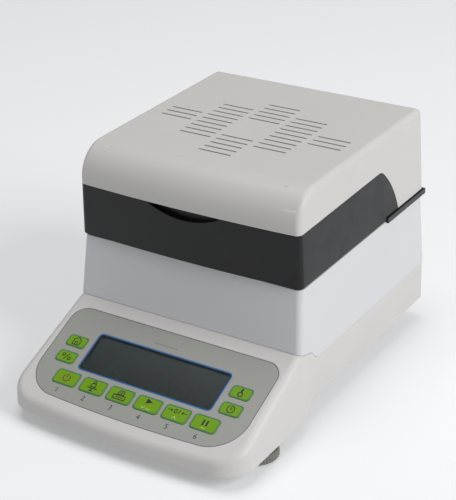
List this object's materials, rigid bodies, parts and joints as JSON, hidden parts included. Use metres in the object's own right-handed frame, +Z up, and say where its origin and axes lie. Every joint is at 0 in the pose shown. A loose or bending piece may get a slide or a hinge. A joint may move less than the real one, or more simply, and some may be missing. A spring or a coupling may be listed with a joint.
{
  "type": "moisture analyzer",
  "caption": "Bench moisture analyzer with a hinged halogen heating lid over a weighing chamber, a sloping keypad console and levelling feet.",
  "frame": {"origin": "on the standing surface below the middle of the outline", "axes": "+Z up, -Y towards the user and the console, +X to the user's right"},
  "size_m": [0.2186, 0.317, 0.1929],
  "materials": {
    "base_white": "fine moulded texture, warm white",
    "body_white": "satin moulded, cool white",
    "lid_white": "fine moulded texture, warm light grey",
    "dark_plastic": "satin, near black",
    "overlay_grey": "printed polyester sheet",
    "window_clear": "clear acrylic",
    "lcd_glass": "unlit display, dark grey-green",
    "key_green": "yellow-green key caps",
    "board_green": "circuit board",
    "black_plastic": "black moulded",
    "steel": "brushed stainless",
    "mirror_steel": "polished",
    "screw_steel": "zinc plated",
    "chrome": "plated connector shell",
    "brass": "turned",
    "aluminium": "bright",
    "cast_aluminium": "cast, matt",
    "foot_grey": "knurled grey-green plastic",
    "rubber": "matt",
    "quartz": "clear quartz",
    "ceramic": "white ceramic",
    "level_green": "green liquid in a clear cup"
  },
  "bodies": {
    "base": {"base_housing": "base_white", "body_housing": "body_white", "keypad_overlay": "overlay_grey", "display_window": "window_clear", "lcd_module": "lcd_glass", "keypad_board": "board_green", "key_switches": "black_plastic", "main_board": "board_green", "power_module": "steel", "base_plate": "steel", "base_screws": "screw_steel", "foot_bushes": "brass", "load_cell": "aluminium", "load_cell_mount": "cast_aluminium", "pan_spindle": "steel", "pan_support": "steel", "chamber_deck": "steel", "draught_ring": "steel", "bubble_level": "level_green", "lid_buffers": "rubber", "hinge_frame": "black_plastic", "hinge_pins": "screw_steel", "power_inlet": "black_plastic", "switch_frame": "black_plastic", "serial_port": "chrome"},
    "lid": {"lid_cover": "lid_white", "lid_band": "dark_plastic", "lid_liner": "steel", "liner_screws": "screw_steel", "reflector": "mirror_steel", "halogen_lamp": "quartz", "lamp_sockets": "ceramic", "lamp_bracket": "steel", "lamp_glass": "quartz", "temperature_sensor": "screw_steel", "heat_baffle": "steel", "hinge_leaves": "steel"},
    "pan": {"sample_pan": "aluminium", "pan_handle": "steel"},
    "switch_rocker": {"switch_rocker": "black_plastic"},
    "key_power": {"key_power": "key_green"},
    "key_calibrate": {"key_calibrate": "key_green"},
    "key_print": {"key_print": "key_green"},
    "key_start": {"key_start": "key_green"},
    "key_tare": {"key_tare": "key_green"},
    "key_stop": {"key_stop": "key_green"},
    "key_home": {"key_home": "key_green"},
    "key_unit": {"key_unit": "key_green"},
    "key_temperature": {"key_temperature": "key_green"},
    "key_timer": {"key_timer": "key_green"},
    "foot_pad_front_left": {"foot_pad_front_left": "rubber"},
    "foot_wheel_front_left": {"foot_wheel_front_left": "foot_grey"},
    "foot_pad_front_right": {"foot_pad_front_right": "rubber"},
    "foot_wheel_front_right": {"foot_wheel_front_right": "foot_grey"},
    "foot_pad_rear_left": {"foot_pad_rear_left": "rubber"},
    "foot_wheel_rear_left": {"foot_wheel_rear_left": "foot_grey"},
    "foot_pad_rear_right": {"foot_pad_rear_right": "rubber"},
    "foot_wheel_rear_right": {"foot_wheel_rear_right": "foot_grey"}
  },
  "joints": [
    {"name": "lid_hinge", "type": "hinge", "parent": "base", "child": "lid", "pos_m": [0, 0.15225, 0.11825], "axis": [-1, 0, 0], "range_deg": [0, 80]},
    {"name": "pan_lift", "type": "slide", "parent": "base", "child": "pan", "axis": [0, 0, 1], "range_m": [0, 0.005]},
    {"name": "mains_switch", "type": "hinge", "parent": "base", "child": "switch_rocker", "pos_m": [-0.022, 0.1535, 0.037], "axis": [1, 0, 0], "range_deg": [0, 16]},
    {"name": "press_power", "type": "slide", "parent": "base", "child": "key_power", "axis": [0, 0.3971, -0.9178], "range_m": [0, 0.0004], "stiffness_N_per_m": 1500},
    {"name": "press_calibrate", "type": "slide", "parent": "base", "child": "key_calibrate", "axis": [0, 0.3971, -0.9178], "range_m": [0, 0.0004], "stiffness_N_per_m": 1500},
    {"name": "press_print", "type": "slide", "parent": "base", "child": "key_print", "axis": [0, 0.3971, -0.9178], "range_m": [0, 0.0004], "stiffness_N_per_m": 1500},
    {"name": "press_start", "type": "slide", "parent": "base", "child": "key_start", "axis": [0, 0.3971, -0.9178], "range_m": [0, 0.0004], "stiffness_N_per_m": 1500},
    {"name": "press_tare", "type": "slide", "parent": "base", "child": "key_tare", "axis": [0, 0.3971, -0.9178], "range_m": [0, 0.0004], "stiffness_N_per_m": 1500},
    {"name": "press_stop", "type": "slide", "parent": "base", "child": "key_stop", "axis": [0, 0.3971, -0.9178], "range_m": [0, 0.0004], "stiffness_N_per_m": 1500},
    {"name": "press_home", "type": "slide", "parent": "base", "child": "key_home", "axis": [0, 0.3971, -0.9178], "range_m": [0, 0.0004], "stiffness_N_per_m": 1500},
    {"name": "press_unit", "type": "slide", "parent": "base", "child": "key_unit", "axis": [0, 0.3971, -0.9178], "range_m": [0, 0.0004], "stiffness_N_per_m": 1500},
    {"name": "press_temperature", "type": "slide", "parent": "base", "child": "key_temperature", "axis": [0, 0.3971, -0.9178], "range_m": [0, 0.0004], "stiffness_N_per_m": 1500},
    {"name": "press_timer", "type": "slide", "parent": "base", "child": "key_timer", "axis": [0, 0.3971, -0.9178], "range_m": [0, 0.0004], "stiffness_N_per_m": 1500},
    {"name": "foot_height_front_left", "type": "slide", "parent": "base", "child": "foot_pad_front_left", "axis": [0, 0, -1], "range_m": [-0.003, 0.004]},
    {"name": "foot_turn_front_left", "type": "hinge", "parent": "foot_pad_front_left", "child": "foot_wheel_front_left", "pos_m": [-0.0925, -0.1005, 0.005], "axis": [0, 0, -1], "range_deg": [-864, 1152]},
    {"name": "foot_height_front_right", "type": "slide", "parent": "base", "child": "foot_pad_front_right", "axis": [0, 0, -1], "range_m": [-0.003, 0.004]},
    {"name": "foot_turn_front_right", "type": "hinge", "parent": "foot_pad_front_right", "child": "foot_wheel_front_right", "pos_m": [0.0925, -0.1005, 0.005], "axis": [0, 0, -1], "range_deg": [-864, 1152]},
    {"name": "foot_height_rear_left", "type": "slide", "parent": "base", "child": "foot_pad_rear_left", "axis": [0, 0, -1], "range_m": [-0.003, 0.004]},
    {"name": "foot_turn_rear_left", "type": "hinge", "parent": "foot_pad_rear_left", "child": "foot_wheel_rear_left", "pos_m": [-0.062, 0.1225, 0.005], "axis": [0, 0, -1], "range_deg": [-864, 1152]},
    {"name": "foot_height_rear_right", "type": "slide", "parent": "base", "child": "foot_pad_rear_right", "axis": [0, 0, -1], "range_m": [-0.003, 0.004]},
    {"name": "foot_turn_rear_right", "type": "hinge", "parent": "foot_pad_rear_right", "child": "foot_wheel_rear_right", "pos_m": [0.062, 0.1225, 0.005], "axis": [0, 0, -1], "range_deg": [-864, 1152]}
  ],
  "couplings": [
    {"joint": "foot_height_front_left", "follows": "foot_turn_front_left", "m_per_rad": 0.00019894},
    {"joint": "foot_height_front_right", "follows": "foot_turn_front_right", "m_per_rad": 0.00019894},
    {"joint": "foot_height_rear_left", "follows": "foot_turn_rear_left", "m_per_rad": 0.00019894},
    {"joint": "foot_height_rear_right", "follows": "foot_turn_rear_right", "m_per_rad": 0.00019894}
  ]
}
